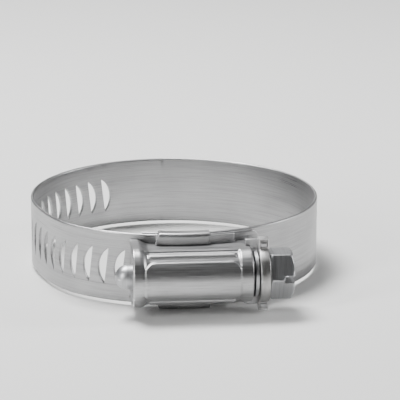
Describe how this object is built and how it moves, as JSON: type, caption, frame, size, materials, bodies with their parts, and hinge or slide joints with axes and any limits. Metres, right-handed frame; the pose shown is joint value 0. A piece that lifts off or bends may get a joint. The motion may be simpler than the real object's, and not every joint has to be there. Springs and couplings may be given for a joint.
{
  "type": "hose clamp",
  "caption": "Worm-drive hose clamp: a slotted steel strip closed into a ring by a hex-head worm screw in a pressed housing.",
  "frame": {"origin": "on the ring's axis at the middle of the strip's width", "axes": "+Z along the ring's axis, -Y towards the housing in front, +X towards the screw's hexagon head"},
  "size_m": [0.0532, 0.0633, 0.0138],
  "materials": {
    "strip_steel": "bright rolled stainless strip",
    "housing_steel": "pressed stainless, satin",
    "clip_steel": "sheared stainless, satin",
    "screw_steel": "zinc plated, turned"
  },
  "bodies": {
    "housing": {"housing": "housing_steel", "saddle": "housing_steel", "retaining_clip": "clip_steel", "band_anchor_span": "strip_steel"},
    "screw": {"worm_screw": "screw_steel"},
    "band_back": {"band_back_span": "strip_steel"},
    "band_free_end": {"band_slotted_span": "strip_steel"}
  },
  "joints": [
    {"name": "screw_turn", "type": "hinge", "parent": "housing", "child": "screw", "pos_m": [0, -0.03135, 0], "axis": [-1, 0, 0], "range_deg": [-720, 720]},
    {"name": "band_flex_right", "type": "hinge", "parent": "housing", "child": "band_back", "pos_m": [0.0263, 0, 0], "axis": [0, 0, 1], "range_deg": [-7, 7]},
    {"name": "band_flex_left", "type": "hinge", "parent": "band_back", "child": "band_free_end", "pos_m": [-0.0263, 0, 0], "axis": [0, 0, 1], "range_deg": [-7, 7]}
  ],
  "couplings": [
    {"joint": "band_flex_right", "follows": "screw_turn", "ratio": 0.0091215},
    {"joint": "band_flex_left", "follows": "screw_turn", "ratio": 0.0091215}
  ]
}
